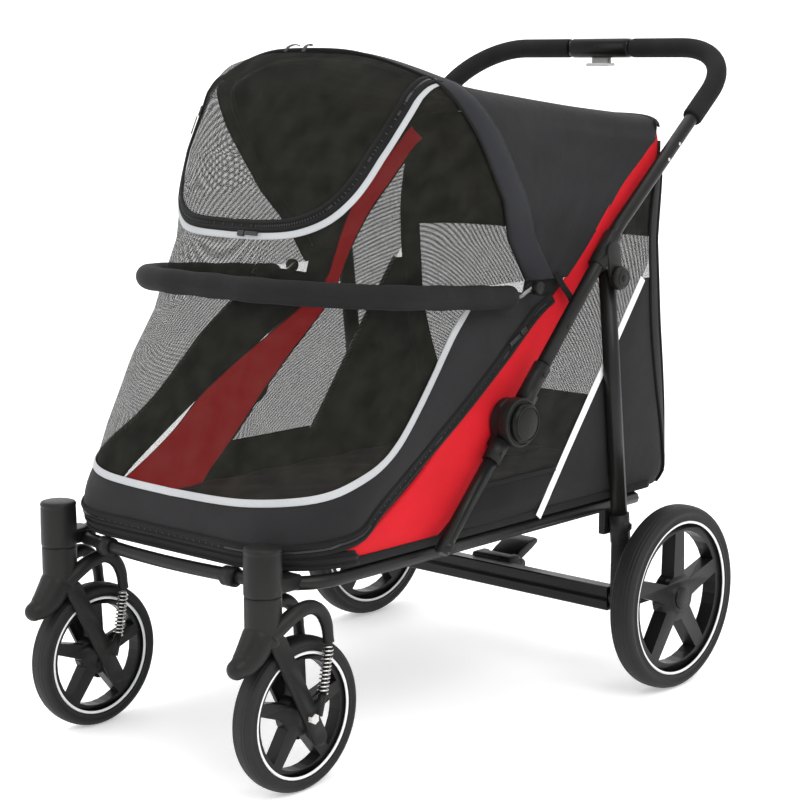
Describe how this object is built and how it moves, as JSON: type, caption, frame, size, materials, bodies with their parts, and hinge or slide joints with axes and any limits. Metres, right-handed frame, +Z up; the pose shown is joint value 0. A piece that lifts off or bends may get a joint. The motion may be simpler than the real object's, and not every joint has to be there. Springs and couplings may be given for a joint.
{
  "type": "pet stroller",
  "caption": "Folding pet stroller with a zipped mesh and fabric cabin on a black tube frame, swivelling sprung front castors, spoked rear wheels, foam push handle and foot brake.",
  "frame": {"origin": "on the ground, in the middle of the stroller's outline seen from above", "axes": "-Y is the front that the stroller travels toward, +Y the push handle, +X the stroller's left side, +Z up"},
  "size_m": [0.6946, 1.112, 1.01],
  "materials": {
    "frame_paint": "satin black powder coat",
    "black_plastic": "fine-grained black",
    "rim_plastic": "satin black moulding",
    "gloss_plastic": "polished black",
    "grey_plastic": "light grey",
    "tyre_rubber": "black with a white ring",
    "foam": "matte black foam",
    "bright_steel": "bright zinc",
    "charcoal_fabric": "woven, charcoal with red panels",
    "mesh_fabric": "open black mesh",
    "pad_fabric": "quilted dark grey"
  },
  "bodies": {
    "base_frame": {"bottom_frame_tube": "frame_paint", "castor_mount_left": "black_plastic", "castor_mount_right": "black_plastic", "front_clip_left": "black_plastic", "front_clip_right": "black_plastic", "lower_side_tube_left": "frame_paint", "lower_side_tube_right": "frame_paint", "hub_inner_left": "black_plastic", "hub_inner_right": "black_plastic", "bumper_lug_left": "black_plastic", "bumper_lug_right": "black_plastic", "cabin_body": "charcoal_fabric", "mesh_hood": "mesh_fabric", "canopy": "charcoal_fabric", "floor_pad": "pad_fabric", "canopy_bow": "frame_paint"},
    "handle_frame": {"handle_tube": "frame_paint", "foam_grip_left": "foam", "foam_grip_right": "foam", "handle_console": "gloss_plastic", "hub_outer_left": "black_plastic", "hub_outer_right": "black_plastic", "hub_cap_left": "gloss_plastic", "hub_cap_right": "gloss_plastic", "leg_bracket_left": "black_plastic", "leg_bracket_right": "black_plastic", "leg_knob_left": "black_plastic", "leg_knob_right": "black_plastic"},
    "trigger": {"fold_trigger": "grey_plastic"},
    "rear_carriage": {"rear_leg_left": "frame_paint", "rear_leg_right": "frame_paint", "wheel_bracket_left": "black_plastic", "wheel_bracket_right": "black_plastic", "rear_axle_beam": "frame_paint", "brake_block": "black_plastic"},
    "brake": {"brake_pedal": "black_plastic"},
    "bumper": {"bumper_sleeve": "charcoal_fabric", "bumper_wire_left": "bright_steel", "bumper_wire_right": "bright_steel"},
    "castor_left": {"castor_swivel_left": "black_plastic", "spring_outer_left": "bright_steel", "spring_inner_left": "bright_steel"},
    "swing_arm_left": {"castor_fork_left": "black_plastic", "axle_bolt_left": "bright_steel"},
    "front_wheel_left": {"front_tyre_left": "tyre_rubber", "front_rim_left": "rim_plastic"},
    "rear_wheel_left": {"rear_tyre_left": "tyre_rubber", "rear_rim_left": "rim_plastic", "rear_hub_cap_left": "black_plastic"},
    "castor_right": {"castor_swivel_right": "black_plastic", "spring_outer_right": "bright_steel", "spring_inner_right": "bright_steel"},
    "swing_arm_right": {"castor_fork_right": "black_plastic", "axle_bolt_right": "bright_steel"},
    "front_wheel_right": {"front_tyre_right": "tyre_rubber", "front_rim_right": "rim_plastic"},
    "rear_wheel_right": {"rear_tyre_right": "tyre_rubber", "rear_rim_right": "rim_plastic", "rear_hub_cap_right": "black_plastic"}
  },
  "joints": [
    {"name": "frame_fold", "type": "hinge", "parent": "base_frame", "child": "handle_frame", "pos_m": [0, -0.036, 0.462], "axis": [1, 0, 0], "range_deg": [0, 135]},
    {"name": "rear_leg_fold", "type": "hinge", "parent": "base_frame", "child": "rear_carriage", "pos_m": [0, 0.235, 0.262], "axis": [1, 0, 0], "range_deg": [0, 34]},
    {"name": "trigger_pull", "type": "slide", "parent": "handle_frame", "child": "trigger", "axis": [0, 0, 1], "range_m": [0, 0.004], "stiffness_N_per_m": 400},
    {"name": "brake_press", "type": "hinge", "parent": "rear_carriage", "child": "brake", "pos_m": [0, 0.284, 0.15], "axis": [-1, 0, 0], "range_deg": [0, 20]},
    {"name": "bumper_lift", "type": "hinge", "parent": "base_frame", "child": "bumper", "pos_m": [0, 0.0468, 0.6462], "axis": [-1, 0, 0], "range_deg": [0, 12]},
    {"name": "castor_swivel_left", "type": "hinge", "parent": "base_frame", "child": "castor_left", "pos_m": [0.21, -0.478, 0.282], "axis": [0, 0, 1], "continuous": true},
    {"name": "suspension_left", "type": "hinge", "parent": "castor_left", "child": "swing_arm_left", "pos_m": [0.21, -0.47, 0.2175], "axis": [1, 0, 0], "range_deg": [0, 8], "stiffness_Nm_per_rad": 60, "springref_deg": -2.86, "deforming": ["spring_outer_left", "spring_inner_left"]},
    {"name": "front_wheel_spin_left", "type": "hinge", "parent": "swing_arm_left", "child": "front_wheel_left", "pos_m": [0.21, -0.419, 0.107], "axis": [1, 0, 0], "continuous": true},
    {"name": "rear_wheel_spin_left", "type": "hinge", "parent": "rear_carriage", "child": "rear_wheel_left", "pos_m": [0.325, 0.304, 0.145], "axis": [1, 0, 0], "continuous": true},
    {"name": "castor_swivel_right", "type": "hinge", "parent": "base_frame", "child": "castor_right", "pos_m": [-0.21, -0.478, 0.282], "axis": [0, 0, 1], "continuous": true},
    {"name": "suspension_right", "type": "hinge", "parent": "castor_right", "child": "swing_arm_right", "pos_m": [-0.21, -0.47, 0.2175], "axis": [1, 0, 0], "range_deg": [0, 8], "stiffness_Nm_per_rad": 60, "springref_deg": -2.86, "deforming": ["spring_outer_right", "spring_inner_right"]},
    {"name": "front_wheel_spin_right", "type": "hinge", "parent": "swing_arm_right", "child": "front_wheel_right", "pos_m": [-0.21, -0.419, 0.107], "axis": [1, 0, 0], "continuous": true},
    {"name": "rear_wheel_spin_right", "type": "hinge", "parent": "rear_carriage", "child": "rear_wheel_right", "pos_m": [-0.325, 0.304, 0.145], "axis": [1, 0, 0], "continuous": true}
  ],
  "couplings": [
    {"joint": "rear_leg_fold", "follows": "frame_fold", "ratio": 0.25}
  ]
}
